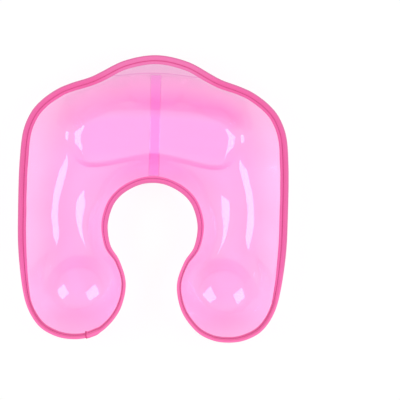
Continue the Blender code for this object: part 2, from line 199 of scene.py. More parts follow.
def even_stations(curve, count):
    """The closed curve's values at evenly spaced stations, from its first point."""
    closed = np.vstack([curve, curve[:1]])
    run = np.concatenate([[0.0], np.cumsum(np.hypot(*np.diff(closed[:, :2], axis=0).T))])
    places = np.linspace(0.0, run[-1], count, endpoint=False)
    return np.column_stack([np.interp(places, run, column) for column in closed.T])


edge_count = 1280
edge = even_stations(edge_curve(), edge_count)
edge_spacing = float(np.hypot(*(np.roll(edge, -1, axis=0) - edge)[:, :2].T).mean())
print(f"the edge is {edge_spacing * edge_count:.3f} m long")

# %% [markdown]
# The surface could be sculpted or built from patches. Here it is one height over each place in
# the plan: a wall that comes down from the nearest point of the edge, and a floor with a pocket
# behind the neck and a bowl in each arm. Where wall and floor meet, the higher of the two wins,
# rounded over a few millimetres as a warm sheet rounds over a mould.

# %% The form of the sheet
pocket_length = 0.208
pocket_width = 0.067
pocket_corner_radius = 0.030
pocket_rear_wall_width = 0.018
pocket_front_wall_width = 0.008
pocket_end_wall_width = 0.024
pocket_rear_bend = 0.0115
pocket_front_bend = 0.011
pocket_front_bend_length = 0.060
pocket_centre_share = 0.746
pocket_rim_share = 0.08
pocket_foot_share = 0.80
bowl_spacing = 0.168
bowl_centre_share = 0.160
bowl_flat_radius = 0.003
bowl_bend_radius = 0.049
bowl_wall_angle = math.radians(33.0)
nearest_step = 8


def nearest_on_edge(places):
    """Each place's distance in the plan to the sheet's edge and the edge's values there."""
    picks = np.arange(0, edge_count, nearest_step)
    rough = np.linalg.norm(places[:, None, :] - edge[None, picks, :2], axis=-1).argmin(1)
    window = picks[rough][:, None] + np.arange(-nearest_step, nearest_step + 1)[None, :]
    start = edge[window % edge_count]
    end = edge[(window + 1) % edge_count]
    leg = end[..., :2] - start[..., :2]
    away = places[:, None, :] - start[..., :2]
    share = np.clip((away * leg).sum(-1) / (leg * leg).sum(-1), 0.0, 1.0)
    distance = np.linalg.norm(away - share[..., None] * leg, axis=-1)
    best = distance.argmin(1)
    rows = np.arange(len(places))
    part = share[rows, best][:, None]
    return distance[rows, best], start[rows, best] * (1 - part) + end[rows, best] * part


def rounded_ramp(share, rim, foot):
    """A straight ramp from 0 to 1, whose rounded start and end take a share each."""
    share = np.clip(share, 0.0, 1.0)
    slope = 1.0 / (1.0 - (rim + foot) / 2)
    start = slope * share**2 / (2 * rim)
    middle = slope * (share - rim / 2)
    end = 1 - slope * (1 - share) ** 2 / (2 * foot)
    return np.where(share < rim, start, np.where(share > 1 - foot, end, middle))


def pocket_edges(x):
    """The Y of the pocket's rear and front edge. The front one bends more and then runs level."""
    centre = along_length(pocket_centre_share)
    rear = centre + pocket_width / 2 - pocket_rear_bend * (2 * x / pocket_length) ** 2
    bent = (x / pocket_front_bend_length) ** 2
    level = (1 + bent**4) ** 0.25
    front = centre - pocket_width / 2 - pocket_front_bend * bent / level
    return rear, front


def into_pocket(places):
    """How far inside the pocket's outline each place is, and the width of the wall there."""
    half_length = pocket_length / 2
    rear, front = pocket_edges(places[:, 0])
    half_width = (rear - front) / 2
    across = places[:, 1] - (rear + front) / 2
    past_x = np.abs(places[:, 0]) - (half_length - pocket_corner_radius)
    past_y = np.abs(across) - (half_width - pocket_corner_radius)
    round_x, round_y = np.clip(past_x, 0.0, None), np.clip(past_y, 0.0, None)
    corner = np.hypot(round_x, round_y)
    into = pocket_corner_radius - corner - np.minimum(np.maximum(past_x, past_y), 0.0)
    side_width = np.where(across > 0, pocket_rear_wall_width, pocket_front_wall_width)
    end_part = round_x**2 / np.maximum(corner**2, 1e-12)
    return into, side_width + (pocket_end_wall_width - side_width) * end_part


def bowl_height(radius):
    """The height of a bowl's surface at each distance from its middle."""
    out = np.clip(radius - bowl_flat_radius, 0.0, None)
    round_out = np.minimum(out, bowl_bend_radius * math.sin(bowl_wall_angle))
    bend = bowl_bend_radius - np.sqrt(bowl_bend_radius**2 - round_out**2)
    return foot_height + bend + (out - round_out) * math.tan(bowl_wall_angle)


def floor_height(places):
    """The height of the floor that the walls run into: trough, pocket and bowls."""
    fallen = ease((places[:, 1] - along_length(trough_crest_share)) / trough_fall_length)
    height = trough_crest_height + (trough_rear_height - trough_crest_height) * fallen
    into, wall_width = into_pocket(places)
    down = rounded_ramp(into / wall_width, pocket_rim_share, pocket_foot_share)
    height = height - (height - foot_height) * down
    for side in (-1, 1):
        centre = np.array([side * bowl_spacing / 2, along_length(bowl_centre_share)])
        height = np.minimum(height, bowl_height(np.linalg.norm(places - centre, axis=1)))
    return height


def blend_up(a, b, height):
    """The higher of two surfaces, rounded where they cross."""
    near = np.clip(height - np.abs(a - b), 0.0, None) / height
    return np.maximum(a, b) + near * near * height / 4.0


def sheet_height(places):
    """The height of the sheet's middle over each place in the plan.

    The last blend's height is the one that bends the sheet at about the wanted radius."""
    away, near = nearest_on_edge(places)
    top, edge_slope, wall_slope, wall_start, bend_radius = near[:, 2:].T
    wall = top - np.minimum(away, wall_start) * edge_slope
    wall = wall - np.clip(away - wall_start, 0.0, None) * wall_slope
    bend_height = bend_radius * wall_slope**2 / np.sqrt(1 + wall_slope**2) / 2
    return blend_up(wall, floor_height(places), bend_height)


def sheet_normal(places, step=0.0012):
    """The sheet's upward normal over each place in the plan, from the heights a step away."""
    slopes = []
    for shift in ((step, 0.0), (0.0, step)):
        slopes.append((sheet_height(places + shift) - sheet_height(places - shift)) / (2 * step))
    normal = np.column_stack([-slopes[0], -slopes[1], np.ones(len(places))])
    return normal / np.linalg.norm(normal, axis=1)[:, None]


bowl_place = np.array([[bowl_spacing / 2, along_length(bowl_centre_share)]])
bowl_floor = sheet_height(bowl_place)[0] * mm_per_metre
print(f"the sheet's middle is {bowl_floor:.1f} mm up in the middle of a bowl")

# %% [markdown]
# The mesh is a triangulation in the plan: rows of points that follow the edge, where the tape
# lies, and an even lattice inside them. The triangles are lifted to the form's height, and the
# sheet gets its thickness along the form's own normals, so that a reflection runs over it smoothly.
# Two values are stored at each point for the material: how far it lies behind the flange's crease
# and how far inside the pocket.

# %% The sheet
sheet_spacing = 0.0021
edge_row_depths = (0.0, 0.0015, 0.003, seam_depth, 0.007, tape_depth, 0.0112)
rim_step = 2
crossing_step = 4
row_gap_share = 0.6
merge_distance = sheet_thickness / 100


def inside_edge(places):
    """Whether each place lies inside the sheet's edge, by counting crossings to its right."""
    x, y = edge[::crossing_step, 0], edge[::crossing_step, 1]
    next_x, next_y = np.roll(x, -1), np.roll(y, -1)
    count = np.zeros(len(places), dtype=int)
    rises = np.where(next_y == y, 1.0, next_y - y)
    for x0, y0, x1, y1, rise in zip(x, y, next_x, next_y, rises):
        spans = (y0 > places[:, 1]) != (y1 > places[:, 1])
        count += spans & (x0 + (places[:, 1] - y0) * (x1 - x0) / rise > places[:, 0])
    return count % 2 == 1


def sheet_plan():
    """The plan's points: rows along the edge, then the lattice inside them."""
    level_share = 1 / np.sqrt(1 + edge[::rim_step, 3:4] ** 2)
    step = inward(edge)[::rim_step] * level_share
    rows = [edge[::rim_step, :2] + step * depth for depth in edge_row_depths]
    half_columns = math.ceil(edge_half_width / sheet_spacing) + 1
    row_step = sheet_spacing * math.sqrt(3) / 2
    half_rows = math.ceil(edge_length / 2 / row_step)
    columns = np.arange(-half_columns, half_columns)
    i, j = np.meshgrid(columns, np.arange(-half_rows, half_rows + 1))
    x = (i + (j % 2) / 2) * sheet_spacing
    lattice = np.column_stack([x.ravel(), (j * row_step).ravel()])
    lattice = lattice[inside_edge(lattice)]
    away, near = nearest_on_edge(lattice)
    last_row = edge_row_depths[-1] / np.sqrt(1 + near[:, 3] ** 2)
    lattice = lattice[away > last_row + sheet_spacing * row_gap_share]
    return np.vstack(rows + [lattice]), len(rows[0])


def add_piece(name, mesh, node):
    """Adds a mesh to the scene as a piece that stands for one of the solids."""
    piece = bpy.data.objects.new(name, mesh)
    bpy.context.scene.collection.objects.link(piece)
    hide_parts(node)
    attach(piece, "root")
    print(f"{name}: {len(mesh.vertices)} points, {len(mesh.polygons)} faces")
    return piece


def two_sided(name, places, surface, normal, faces, rim, thickness):
    """A mesh with a surface's upper and lower side and a wall round its rim.

    The thickness is one number or a column with one for each place."""
    count = len(places)
    top = surface + normal * thickness / 2
    bottom = surface - normal * thickness / 2
    under = [tuple(reversed([v + count for v in face])) for face in faces]
    wall = [(a, a + count, b + count, b) for a, b in zip(rim, np.roll(rim, -1))]
    mesh = bpy.data.meshes.new(name)
    mesh.from_pydata(np.vstack([top, bottom]).tolist(), [], list(faces) + under + wall)
    mesh.shade_smooth()
    mesh.validate()
    return mesh


def store(mesh, title, values):
    """Keeps one value a point on a mesh, for its material to read."""
    mesh.attributes.new(title, "FLOAT", "POINT").data.foreach_set("value", values)


def store_form(mesh, places):
    """Keeps how far each place is behind the crease and inside the pocket, for both sides."""
    store(mesh, "past_crease", np.tile(places[:, 1] - crease_line(places[:, 0]), 2))
    store(mesh, "into_pocket", np.tile(into_pocket(places)[0], 2))


def make_sheet():
    """The formed sheet."""
    plan, rim_count = sheet_plan()
    outline = list(range(rim_count))
    points = [Vector(place) for place in plan]
    places, _, faces, *_ = delaunay_2d_cdt(points, [], [outline], 1, merge_distance)
    places = np.array([tuple(place) for place in places])
    turned = []
    for a, b, c in faces:
        cross = np.cross(places[b] - places[a], places[c] - places[a])
        turned.append((a, b, c) if cross > 0 else (a, c, b))
    surface = np.column_stack([places, sheet_height(places)])
    normal = sheet_normal(places)
    rim = np.arange(rim_count)
    mesh = two_sided("formed_sheet", places, surface, normal, turned, rim, sheet_thickness)
    store_form(mesh, places)
    return mesh


formed_sheet = add_piece("formed_sheet", make_sheet(), "tray_shell")

# %% [markdown]
# The tape is a ribbed ribbon, folded over the edge and 8.5 mm deep on each side. A curve with a
# bevel could sweep its section round, but the section has to lean with the sheet and draw in at
# the stitches, so it is a loft: the section is worked out at every millimetre or so of the edge.
# This cell says where the edge runs and where the tape's end lies over its start.

# %% Along the tape
lap_length = 0.012
lap_ramp_length = 0.006
lap_place_share = 0.40
lap_gap = 0.0003
lap_lift = tape_thickness + lap_gap
lap_full_length = 0.0003
tape_flare = 0.00015
stitch_pitch = 0.0028
seam_top = seam_height + tape_thickness


def edge_frames(runs):
    """Where the edge is after so many stations, and the directions in along the sheet and up."""
    first = np.floor(runs).astype(int)
    share = (runs - first)[:, None]
    normals = inward(edge)
    point = edge[first % edge_count] * (1 - share) + edge[(first + 1) % edge_count] * share
    flat = normals[first % edge_count] * (1 - share) + normals[(first + 1) % edge_count] * share
    flat /= np.linalg.norm(flat, axis=1)[:, None]
    angle = np.arctan(point[:, 3])[:, None]
    into = np.column_stack([flat * np.cos(angle), -np.sin(angle)])
    up = np.column_stack([flat * np.sin(angle), np.cos(angle)])
    return point[:, :3], into, up


def lap_station():
    """The station where the tape starts: on the left lobe, on its side towards the middle."""
    front = edge[:, 1] < along_length(lobe_zone_share / 2)
    miss = np.where(front, np.abs(edge[:, 0] + lap_place_share * edge_half_width), np.inf)
    return int(miss.argmin())


tape_start = lap_station()
tape_turns = edge_count + lap_length / edge_spacing
lap_full = edge_count - lap_full_length / edge_spacing
lap_ramp = lap_full - lap_ramp_length / edge_spacing
tape_length = tape_turns * edge_spacing
print(f"the tape starts at station {tape_start} of {edge_count} and is {tape_length:.3f} m long")

# %% [markdown]
# Each half of the section comes off the round fold, lies on the sheet and ends in a free edge. One
# formula gives the height of its outside at every depth in from the edge. It has a groove along the
# seam, deeper under each stitch than between, and a slight pucker between the stitches. The free
# edge wanders and lifts a little, as a sewn edge does, and the end of the lap curls up. Three
# values are stored at each point for the weave to follow: how far along the tape it lies, how far
# in from the edge, and how far the sheet leans there.

# %% The tape's section
side_depths_mm = (8.5, 7.9, 7.2, 6.4, 5.6, 5.0, 4.6, 4.2, 3.6, 2.8, 2.0, 1.2, 0.5)
side_depths = np.array(side_depths_mm) / mm_per_metre
fold_angles = np.radians([100, 120, 140, 160, 180])
groove_depth = 0.00022
groove_width = 0.0007
groove_share = 0.6
groove_swing_share = 0.4
pucker_height = 0.00010
pucker_width = 0.0020
edge_wander = 0.00030
edge_wander_seed = 3
edge_lift = 0.00018
edge_lift_seed = 8
curl_length = 0.0035
curl_height = 0.0011


def slow_wave(length, seed, waves=6, longest=0.16, first=1.3):
    """A gentle wave along a length, between -1 and 1, made of a few sines."""
    draw = np.random.default_rng(seed)
    total = np.zeros_like(length)
    for k in range(waves):
        start = draw.uniform(0, 2 * math.pi)
        total += np.sin(2 * math.pi * length * (k + first) / longest + start)
    return total / waves


def tape_top(depth, length):
    """The height of the tape's outside over the sheet's middle, at each depth in from the edge."""
    fold = bead_radius + (seam_top - bead_radius) * ease(depth / seam_depth)
    flap = seam_top + tape_flare * ease((depth - seam_depth) / (tape_depth - seam_depth))
    off = depth - seam_depth
    stitch = np.cos(2 * math.pi * length / stitch_pitch)
    groove = groove_depth * np.exp(-((off / groove_width) ** 2))
    groove = groove * (groove_share - groove_swing_share * stitch)
    pucker = pucker_height * np.exp(-((off / pucker_width) ** 2)) * stitch
    return np.where(depth < seam_depth, fold, flap) - groove + pucker


def tape_ring(runs, side):
    """The outside and inside of one half of the fold at each run, from its free edge outward."""
    length = runs * edge_spacing
    depth = np.tile(side_depths, (len(runs), 1))
    far = (depth / tape_depth) ** 2
    wander = edge_wander * slow_wave(length, edge_wander_seed + side)
    depth = depth + far * wander[:, None]
    lift = edge_lift * (1 + slow_wave(length, edge_lift_seed + side))
    height = tape_top(depth, length[:, None]) + far * lift[:, None]
    outside = np.stack([depth, height], axis=-1)
    fold = [[bead_radius * math.cos(a), bead_radius * math.sin(a)] for a in fold_angles]
    fold = np.tile(np.array(fold), (len(runs), 1, 1))
    inside = np.stack([depth, height - tape_thickness], axis=-1)
    inner_fold = fold * (bead_radius - tape_thickness) / bead_radius
    return np.concatenate([outside, fold], axis=1), np.concatenate([inside, inner_fold], axis=1)


def make_tape():
    """The tape, folded over the edge all the way round, with its end lying over its start."""
    runs = np.append(np.arange(0.0, tape_turns, 1.0), tape_turns)
    upper_out, upper_in = tape_ring(runs, 1)
    lower_out, lower_in = tape_ring(runs, -1)
    flip = np.array([1.0, -1.0])
    lower_out, lower_in = lower_out * flip, lower_in * flip
    ring = [upper_out, lower_out[:, -2::-1], lower_in, upper_in[:, -2::-1]]
    section = np.concatenate(ring, axis=1)
    lift = lap_lift * ease((runs - lap_ramp) / (lap_full - lap_ramp))
    depth, height = section[..., 0], section[..., 1]
    grow = 1.0 + lift[:, None] / bead_radius
    rounding = depth < side_depths[-1]
    height = np.where(rounding, height * grow, height + np.sign(height) * lift[:, None])
    depth = np.where(depth < 0, depth - lift[:, None] * (-depth / bead_radius), depth)
    curl = np.clip((runs - tape_turns) * edge_spacing / curl_length + 1.0, 0.0, 1.0)[:, None]
    far = np.clip(depth / tape_depth, 0, 1)
    height = height + np.sign(height) * curl_height * curl**2 * far**2
    point, into, up = edge_frames(tape_start + runs)
    places = point[:, None, :] + depth[..., None] * into[:, None, :]
    places = places + height[..., None] * up[:, None, :]
    around = section.shape[1]
    faces = []
    for j in range(len(runs) - 1):
        for i in range(around):
            a, b = j * around + i, j * around + (i + 1) % around
            faces.append((a, b, b + around, a + around))
    half = around // 2
    last = (len(runs) - 1) * around
    for i in range(half - 1):
        a, b, c, d = i, i + 1, around - 2 - i, around - 1 - i
        faces.append((a, d, c, b))
        faces.append((last + a, last + b, last + c, last + d))
    mesh = bpy.data.meshes.new("woven_edge_tape")
    mesh.from_pydata(places.reshape(-1, 3).tolist(), [], faces)
    lean = np.arcsin(np.linalg.norm(up[:, :2], axis=1))
    store(mesh, "along", np.repeat(runs * edge_spacing, around))
    store(mesh, "across", depth.ravel())
    store(mesh, "lean", np.repeat(lean, around))
    mesh.shade_smooth()
    return mesh


edge_tape = add_piece("woven_edge_tape", make_tape(), "edge_binding")

# %% [markdown]
# The seam is a lockstitch: one thread above and one below, each pulled into the tape at every
# hole. A smooth tube would do from afar. Here every stitch is its own short bent tube, which dips
# at both ends, so that the seam catches the light as a row of stitches does.

# %% The stitches
stitch_radius = 0.00024
stitch_rings = 7
stitch_sides = 6
stitch_half_share = 0.47
stitch_rise_share = 0.75
stitch_dip_share = 2.2
stitch_taper_share = 0.35
seam_end_length = 0.002
seam_sway = 0.00008
seam_sway_rate = 911.0


def make_stitches(name, side):
    """All the stitches on one side of the tape, as one mesh."""
    count = int((tape_length - seam_end_length) / stitch_pitch)
    along = np.linspace(-stitch_half_share, stitch_half_share, stitch_rings) * stitch_pitch
    centre = (np.arange(count) + 0.5) * stitch_pitch
    length = centre[:, None] + along[None, :]
    runs = (length / edge_spacing).ravel()
    lift = lap_lift * ease((runs - lap_ramp) / (lap_full - lap_ramp))
    over_start = runs * edge_spacing < lap_length
    hidden = np.repeat(over_start.reshape(count, -1).any(1), stitch_rings)
    dip = np.tile((along / along[-1]) ** 4, count)
    height = seam_top + lift + stitch_radius * (stitch_rise_share - stitch_dip_share * dip)
    point, into, up = edge_frames(tape_start + runs)
    sway = seam_sway * np.sin(length.ravel() * seam_sway_rate)
    middle = point + (seam_depth + sway)[:, None] * into + side * height[:, None] * up
    keep = ~hidden
    middle, into, up = middle[keep], into[keep], up[keep]
    taper = 1.0 - stitch_taper_share * (along / along[-1]) ** 2
    width = np.tile(taper, count)[keep] * stitch_radius
    spokes = np.arange(stitch_sides) * 2 * math.pi / stitch_sides
    ring = np.cos(spokes)[None, :, None] * into[:, None, :]
    ring = ring + np.sin(spokes)[None, :, None] * up[:, None, :]
    places = middle[:, None, :] + width[:, None, None] * ring
    faces = []
    for stitch in range(len(middle) // stitch_rings):
        base = stitch * stitch_rings * stitch_sides
        for j in range(stitch_rings - 1):
            for i in range(stitch_sides):
                a = base + j * stitch_sides + i
                b = base + j * stitch_sides + (i + 1) % stitch_sides
                faces.append((a, a + stitch_sides, b + stitch_sides, b))
        faces.append(tuple(range(base, base + stitch_sides)))
        end = base + (stitch_rings - 1) * stitch_sides
        faces.append(tuple(range(end + stitch_sides - 1, end - 1, -1)))
    mesh = bpy.data.meshes.new(name)
    mesh.from_pydata(places.reshape(-1, 3).tolist(), [], faces)
    mesh.shade_smooth()
    return mesh


needle_mesh = make_stitches("needle_stitches", 1)
bobbin_mesh = make_stitches("bobbin_stitches", -1)
needle_stitches = add_piece("needle_stitches", needle_mesh, "needle_thread")
bobbin_stitches = add_piece("bobbin_stitches", bobbin_mesh, "bobbin_thread")

# %% [markdown]
# Down the middle of the back a second strip of vinyl is welded on, from the crease of the flange
# to the neck. It follows the sheet's form at its own thickness. The weld squeezed its long sides
# thin over about half a millimetre, so they end without a thick step.

# %% The welded strip
strip_width = 0.012
strip_thickness = 0.0005
strip_left_feather = 0.0006
strip_right_feather = 0.0005
strip_end_gap = 0.0012
strip_step = 0.001
strip_end_row = 0.00012
strip_edge_share = 0.02
strip_gap = 0.00006
strip_column_shares = (
    -1.00, -0.98, -0.93, -0.87, -0.80, -0.72, -0.66, -0.33, 0.00,
    0.33, 0.66, 0.85, 0.91, 0.94, 0.96, 0.98, 0.99, 1.00,
)


def make_strip():
    """The strip that doubles the sheet down the middle of the back."""
    neck = edge[edge_count // 2]
    start = along_length(crease_share) - strip_end_gap
    end = neck[1] + tape_depth * math.cos(math.atan(neck[3])) + strip_end_gap
    rows = np.linspace(start, end, round((start - end) / strip_step) + 1)
    rows = np.insert(rows, [1, len(rows) - 1], [start - strip_end_row, end + strip_end_row])
    half = strip_width / 2
    columns = half * np.array(strip_column_shares)
    places = np.array([(x, y) for y in rows for x in columns])
    left = ease((places[:, 0] + half) / strip_left_feather)
    right = ease((half - places[:, 0]) / strip_right_feather)
    full = strip_edge_share + (1 - strip_edge_share) * np.minimum(left, right)
    thickness = (strip_thickness * full)[:, None]
    normal = sheet_normal(places)
    surface = np.column_stack([places, sheet_height(places)])
    surface = surface + normal * (sheet_thickness / 2 + strip_gap + thickness / 2)
    wide, tall = len(columns), len(rows)
    faces = [
        (j * wide + i, (j + 1) * wide + i, (j + 1) * wide + i + 1, j * wide + i + 1)
        for j in range(tall - 1)
        for i in range(wide - 1)
    ]
    rim = list(range(wide))
    rim += [j * wide + wide - 1 for j in range(1, tall)]
    rim += [(tall - 1) * wide + i for i in range(wide - 2, -1, -1)]
    rim += [j * wide for j in range(tall - 2, 0, -1)]
    mesh = two_sided("welded_strip", places, surface, normal, faces, np.array(rim), thickness)
    store_form(mesh, places)
    return mesh


welded_strip = add_piece("welded_strip", make_strip(), "centre_strip")

# %% [markdown]
# Two effects are used by more than one material. Mottle is the slow cloudiness of a thin soft
# material, and fine relief is the small unevenness that keeps a gloss from being a mirror.

# %% Shared effects
def new_group(name, inputs, outputs):
    """A shader node group with its sockets, and its input and output nodes."""
    group = bpy.data.node_groups.new(name, "ShaderNodeTree")
    for title, value in inputs:
        socket = group.interface.new_socket(title, in_out="INPUT", socket_type="NodeSocketFloat")
        socket.default_value = value
    for title in outputs:
        group.interface.new_socket(title, in_out="OUTPUT", socket_type="NodeSocketFloat")
    print(f"{name} puts out {', '.join(outputs)}")
    return group, group.nodes.new("NodeGroupInput"), group.nodes.new("NodeGroupOutput")


def noise(tree, vector, scale, detail=3.0, roughness=0.5):
    """A noise texture on the given vector."""
    node = tree.nodes.new("ShaderNodeTexNoise")
    node.inputs["Detail"].default_value = detail
    node.inputs["Roughness"].default_value = roughness
    if isinstance(scale, (int, float)):
        node.inputs["Scale"].default_value = scale
    else:
        tree.links.new(scale, node.inputs["Scale"])
    tree.links.new(vector, node.inputs["Vector"])
    return node.outputs["Fac"]


def computed(tree, operation, a, b=0.0):
    """A Math node on one or two sockets or numbers."""
    node = tree.nodes.new("ShaderNodeMath")
    node.operation = operation
    for socket, value in zip(node.inputs, (a, b)):
        if isinstance(value, (int, float)):
            socket.default_value = value
        else:
            tree.links.new(value, socket)
    return node.outputs[0]


def mapped(tree, value, low, high, new_low=0.0, new_high=1.0):
    """A value moved from one range to another, and kept inside it."""
    node = tree.nodes.new("ShaderNodeMapRange")
    tree.links.new(value, node.inputs["Value"])
    titles = ("From Min", "From Max", "To Min", "To Max")
    for title, number in zip(titles, (low, high, new_low, new_high)):
        node.inputs[title].default_value = number
    return node.outputs["Result"]


def stored_value(tree, title):
    """One of the values stored on a mesh."""
    node = tree.nodes.new("ShaderNodeAttribute")
    node.attribute_name = title
    return node.outputs["Fac"]


cloud_range = (0.3, 0.7)


def make_mottle():
    """Slow clouds over the surface and fine relief, from the place on the object."""
    scales = [("Cloud Scale", 9.0), ("Relief Scale", 320.0)]
    group, given, made = new_group("mottle", scales, ["Cloud", "Relief"])
    place = group.nodes.new("ShaderNodeTexCoord").outputs["Object"]
    cloud = noise(group, place, given.outputs["Cloud Scale"], detail=2.0)
    relief = noise(group, place, given.outputs["Relief Scale"], roughness=0.6)
    group.links.new(mapped(group, cloud, *cloud_range), made.inputs["Cloud"])
    group.links.new(relief, made.inputs["Relief"])
    return group


mottle = make_mottle()

# %% [markdown]
# The tape's weave is worked out from the stored values, because they follow the tape round every
# bend, which a texture in space doesn't. Ribs run slanting across the tape, and fine warp threads
# run along it. The group also puts out masks for light and shade painted into the tape's colour:
# painted shade along the seam, on the fold and at the cut end, and painted light that changes with
# how far the tape leans, in place of the other light that a steep tape takes than a flat one.

# %% The weave
rib_pitch = 0.00115
warp_pitch = 0.00042
rib_slant = 0.55
rib_share = 0.7
warp_share = 0.25
fuzz_scale = 900.0
# Painted light: the tape's colour changes over these angles of lean, in degrees.
lean_degrees = {"Flat": (34.0, 22.0), "Lean": (38.0, 56.0), "Steep": (56.0, 74.0)}
# Painted shade on the fold, weaker where the tape stands steep, and along the seam and the cut end.
upright_degrees = (45.0, 70.0)
upright_fold_share = 0.2
fold_mask_depths = (-0.0007, 0.0004)
seam_mask_distances = (0.0002, 0.0010)
cut_mask_lengths = (0.0020, 0.0008)


def make_weave():
    """Ribs and warp threads, and painted shade and light masks for seam, fold, lean and cut end."""
    titles = ["Ribs", "Height", "Seam", "Fold", "Flat", "Lean", "Steep", "Cut"]
    group, given, made = new_group("ribbed_weave", [("Wear", 0.3)], titles)
    along, across, lean = (stored_value(group, title) for title in ("along", "across", "lean"))
    # Painted light by how far the tape leans.
    for title, degrees in lean_degrees.items():
        start, end = (math.radians(angle) for angle in degrees)
        group.links.new(mapped(group, lean, start, end), made.inputs[title])
    # Painted shade on the fold, weaker on steep tape, at the cut end and along the seam.
    start, end = (math.radians(angle) for angle in upright_degrees)
    upright = mapped(group, lean, start, end, 1.0, upright_fold_share)
    fold = mapped(group, across, *fold_mask_depths, 1.0, 0.0)
    group.links.new(computed(group, "MULTIPLY", fold, upright), made.inputs["Fold"])
    start, end = (tape_length - length for length in cut_mask_lengths)
    group.links.new(mapped(group, along, start, end), made.inputs["Cut"])
    off_seam = computed(group, "SUBTRACT", across, seam_depth)
    off_seam = computed(group, "ABSOLUTE", off_seam)
    seam = mapped(group, off_seam, *seam_mask_distances, 1.0, 0.0)
    group.links.new(seam, made.inputs["Seam"])
    depth = computed(group, "ABSOLUTE", across)
    slanted = computed(group, "ADD", along, computed(group, "MULTIPLY", depth, rib_slant))
    rib_turn = computed(group, "MULTIPLY", slanted, 2 * math.pi / rib_pitch)
    ribs = computed(group, "SINE", rib_turn)
    warp_turn = computed(group, "MULTIPLY", depth, 2 * math.pi / warp_pitch)
    warps = computed(group, "SINE", warp_turn)
    place = group.nodes.new("ShaderNodeTexCoord").outputs["Object"]
    fuzz = noise(group, place, fuzz_scale, detail=2.0)
    worn = computed(group, "MULTIPLY", fuzz, given.outputs["Wear"])
    rib_mask = computed(group, "MULTIPLY", mapped(group, ribs, -1.0, 1.0), rib_share)
    group.links.new(computed(group, "ADD", rib_mask, worn), made.inputs["Ribs"])
    height = computed(group, "ADD", computed(group, "MULTIPLY", warps, warp_share), ribs)
    group.links.new(computed(group, "ADD", height, worn), made.inputs["Height"])
    return group


weave = make_weave()

# %% [markdown]
# A second group puts out masks for shade painted into the vinyl's colour. The back of the tray is
# painted greyer, a thin darker line is painted along the crease of the flange, a deeper pink band
# is painted along the foot of the rear wall, fainter to the left, and the floor of the pocket,
# which lies on the table, is painted a deeper pink. All four are painted shade. The last three
# follow the two distances stored on the mesh.

# %% Masks of painted shade over the form
# Where the painted shade lies: the crease's line, the back, the rear wall's foot, the pocket floor.
crease_line_width = 0.0008
back_zone = (0.050, 0.140)
foot_rise = (-0.020, -0.0005)
foot_rise_power = 1.5
foot_fall = (-0.0005, 0.018)
foot_zone = (0.082, 0.100)
foot_left_zone = (-0.075, 0.0)
foot_left_share = 0.15
floor_depths = (0.006, 0.018)


def make_painted_shade_masks():
    """Masks for painted shade on the back of the tray, the crease, the rear wall's foot and the
    pocket's floor.
    """
    titles = ["Back", "Crease", "Foot", "Floor"]
    group, given, made = new_group("painted_shade_masks", [("Line Width", crease_line_width)], titles)
    axes = group.nodes.new("ShaderNodeSeparateXYZ")
    place = group.nodes.new("ShaderNodeTexCoord").outputs["Object"]
    group.links.new(place, axes.inputs[0])
    x, y = axes.outputs["X"], axes.outputs["Y"]
    # Painted shade, greyer towards the back.
    group.links.new(mapped(group, y, *back_zone), made.inputs["Back"])
    # Painted shade in a thin line along the crease.
    off_crease = computed(group, "ABSOLUTE", stored_value(group, "past_crease"))
    share = computed(group, "DIVIDE", off_crease, given.outputs["Line Width"])
    near = computed(group, "MAXIMUM", computed(group, "SUBTRACT", 1.0, share), 0.0)
    group.links.new(near, made.inputs["Crease"])
    into = stored_value(group, "into_pocket")
    # Painted shade along the rear wall's foot, fainter to the left.
    above = computed(group, "POWER", mapped(group, into, *foot_rise), foot_rise_power)
    below = mapped(group, into, *foot_fall, 1.0, 0.0)
    foot = computed(group, "MULTIPLY", above, below)
    foot = computed(group, "MULTIPLY", foot, mapped(group, y, *foot_zone))
    from_left = mapped(group, x, *foot_left_zone, foot_left_share, 1.0)
    foot = computed(group, "MULTIPLY", foot, from_left)
    group.links.new(foot, made.inputs["Foot"])
    # Painted shade on the pocket's floor.
    group.links.new(mapped(group, into, *floor_depths), made.inputs["Floor"])
    return group


painted_shade_masks = make_painted_shade_masks()

# %% [markdown]
# The vinyl is clear and pink all through, so its colour belongs inside it: light loses its green
# on the way through, and a steep wall, which light crosses at a slant, looks deeper. The surface
# is glass-like with a soft gloss. Its colour takes slow clouds, and the shade painted by the masks
# over the form. Lamps reach through it by a Transparent shader for shadow rays, because rays from a
# lamp can't find their way through a bending surface.

# %% The vinyl
def new_material(name):
    """A material with its tree and its Principled shader."""
    material = bpy.data.materials.new(name)
    material.use_nodes = True
    print("material:", name)
    return material, material.node_tree, material.node_tree.nodes["Principled BSDF"]


def add_group(tree, group, **values):
    """Places a node group in a tree with its own values."""
    node = tree.nodes.new("ShaderNodeGroup")
    node.node_tree = group
    for title, value in values.items():
        node.inputs[title.replace("_", " ")].default_value = value
    return node


def colour_between(tree, factor, first, second):
    """A colour that goes from one to another with a factor. Each is a colour or a socket."""
    node = tree.nodes.new("ShaderNodeMix")
    node.data_type = "RGBA"
    tree.links.new(factor, node.inputs["Factor"])
    for title, colour in (("A", first), ("B", second)):
        if isinstance(colour, tuple):
            node.inputs[title].default_value = (*colour, 1.0)
        else:
            tree.links.new(colour, node.inputs[title])
    return node.outputs["Result"]


def add_bump(tree, height, distance, strength=1.0):
    """A Bump node on a height."""
    node = tree.nodes.new("ShaderNodeBump")
    node.inputs["Distance"].default_value = distance
    node.inputs["Strength"].default_value = strength
    tree.links.new(height, node.inputs["Height"])
    return node.outputs["Normal"]


vinyl_index = 1.5
vinyl_roughness = (0.05, 0.10)
untinted = (1.0, 1.0, 1.0)
cloud_tint = (1.0, 0.96, 0.985)
# Painted shade: a darker line along the flange's crease.
crease_painted_shade = (0.82, 0.70, 0.78)


